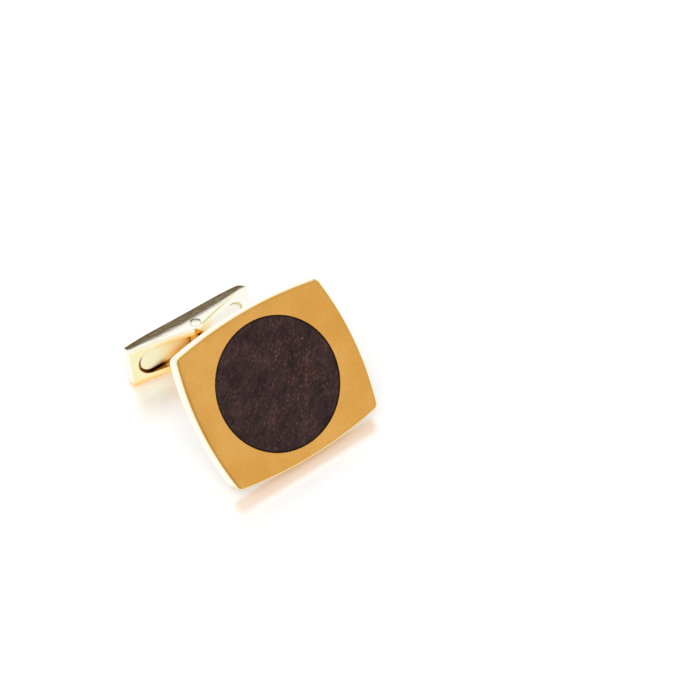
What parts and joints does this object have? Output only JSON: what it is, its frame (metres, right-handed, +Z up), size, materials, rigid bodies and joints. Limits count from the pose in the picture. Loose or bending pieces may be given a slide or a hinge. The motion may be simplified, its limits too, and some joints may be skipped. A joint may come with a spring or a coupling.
{
  "type": "cufflink",
  "caption": "Gold-plated cufflink: bulged square satin face with a round dark-wood inlay, bent post and a boat-shaped swivel toggle that folds in line with the post.",
  "frame": {"origin": "bottom centre of the cufflink as it lies on a table", "axes": "+Z up from the table, the face looks towards -Y and leans back, +X along the toggle to the right of someone who looks at the face"},
  "size_m": [0.021, 0.0234, 0.0151],
  "materials": {
    "satin_gold": "satin gold plate with polished bevel and sides",
    "polished_gold": "polished gold plate",
    "dark_wood": "open-grained dark wood, oiled",
    "clear_adhesive": "cured adhesive film",
    "spring_steel": "pale bronze-tinted spring strip"
  },
  "bodies": {
    "face": {"face_plate": "satin_gold", "back_plate": "polished_gold", "wood_inlay": "dark_wood", "inlay_adhesive": "clear_adhesive", "bent_post": "polished_gold"},
    "toggle": {"toggle_bar": "polished_gold", "leaf_spring": "spring_steel", "pivot_pin": "polished_gold"}
  },
  "joints": [
    {"name": "toggle_swing", "type": "hinge", "parent": "face", "child": "toggle", "pos_m": [0, 0.00937, 0.00273], "axis": [0, 0, 1], "range_deg": [-90, 90]}
  ]
}
